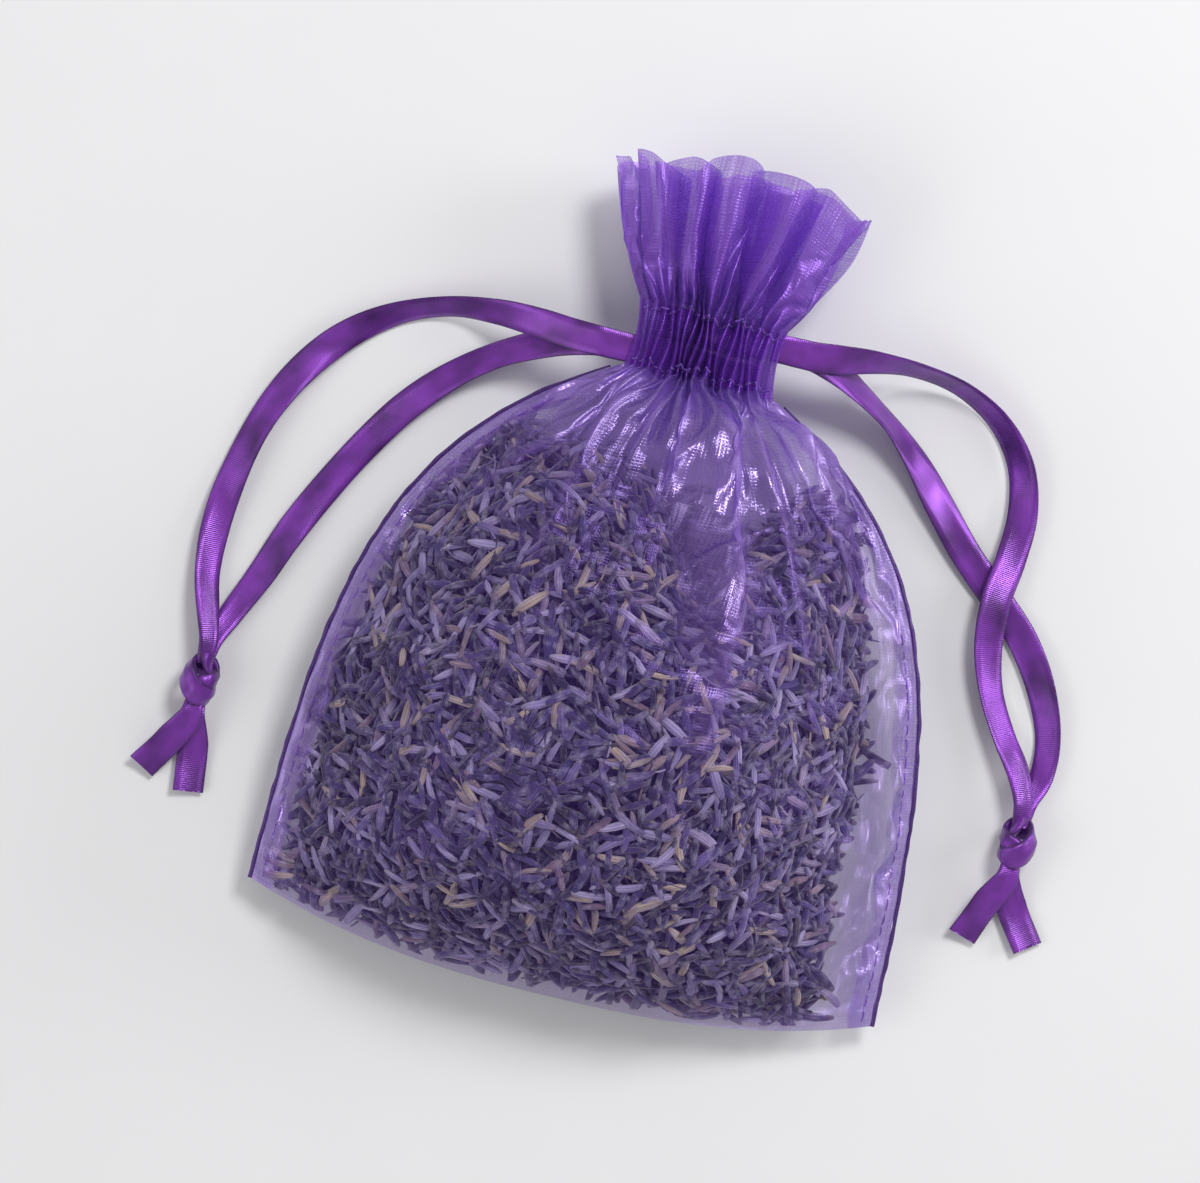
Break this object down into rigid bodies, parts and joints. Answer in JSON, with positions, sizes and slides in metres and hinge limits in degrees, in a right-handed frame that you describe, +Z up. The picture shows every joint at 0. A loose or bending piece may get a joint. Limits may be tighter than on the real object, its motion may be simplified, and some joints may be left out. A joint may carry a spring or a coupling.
{
  "type": "lavender sachet",
  "caption": "Small sheer drawstring pouch filled with dried lavender buds, neck drawn in by two knotted satin ribbons under a gathered ruffle.",
  "frame": {"origin": "on the table, under the middle of the pouch's own box, the loose ribbon loops left out", "axes": "+Z up, +Y from the bottom fold to the ruffle, +X to the right seen from above"},
  "size_m": [0.1057, 0.095, 0.0284],
  "materials": {
    "organza_panel": "sheer plain-weave organza, purple, slight sheen",
    "organza_casing": "double layer of gathered organza, purple, slight sheen",
    "organza_ruffle": "double layer of pleated organza, violet, slight sheen",
    "sewing_thread": "matt polyester thread, dark purple",
    "satin_ribbon": "glossy satin ribbon, purple",
    "dried_lavender": "dried flower buds, matt, violet grey with brown specks"
  },
  "bodies": {
    "pouch": {"front_panel": "organza_panel", "back_panel": "organza_panel", "left_side_seam": "sewing_thread", "right_side_seam": "sewing_thread", "lavender_fill": "dried_lavender", "back_casing": "organza_casing", "back_ruffle": "organza_ruffle", "back_lower_stitching": "sewing_thread", "back_upper_stitching": "sewing_thread", "left_ribbon_back_run": "satin_ribbon", "right_ribbon_back_run": "satin_ribbon"},
    "mouth_front": {"front_casing": "organza_casing", "front_ruffle": "organza_ruffle", "front_lower_stitching": "sewing_thread", "front_upper_stitching": "sewing_thread", "left_ribbon_front_run": "satin_ribbon", "right_ribbon_front_run": "satin_ribbon"},
    "left_drawstring": {"left_front_strand": "satin_ribbon", "left_back_strand": "satin_ribbon", "left_knot": "satin_ribbon", "left_front_tail": "satin_ribbon", "left_back_tail": "satin_ribbon"},
    "right_drawstring": {"right_front_strand": "satin_ribbon", "right_back_strand": "satin_ribbon", "right_knot": "satin_ribbon", "right_front_tail": "satin_ribbon", "right_back_tail": "satin_ribbon"}
  },
  "joints": [
    {"name": "mouth_open", "type": "hinge", "parent": "pouch", "child": "mouth_front", "pos_m": [0, 0.0235, 0.01445], "axis": [1, 0, 0], "range_deg": [0, 35]},
    {"name": "left_drawstring_draw_in", "type": "slide", "parent": "pouch", "child": "left_drawstring", "axis": [1, 0, 0], "range_m": [0, 0.004]},
    {"name": "right_drawstring_draw_in", "type": "slide", "parent": "pouch", "child": "right_drawstring", "axis": [-1, 0, 0], "range_m": [0, 0.004]}
  ],
  "couplings": [
    {"joint": "left_drawstring_draw_in", "follows": "mouth_open", "m_per_rad": 0.0065},
    {"joint": "right_drawstring_draw_in", "follows": "mouth_open", "m_per_rad": 0.0065}
  ]
}
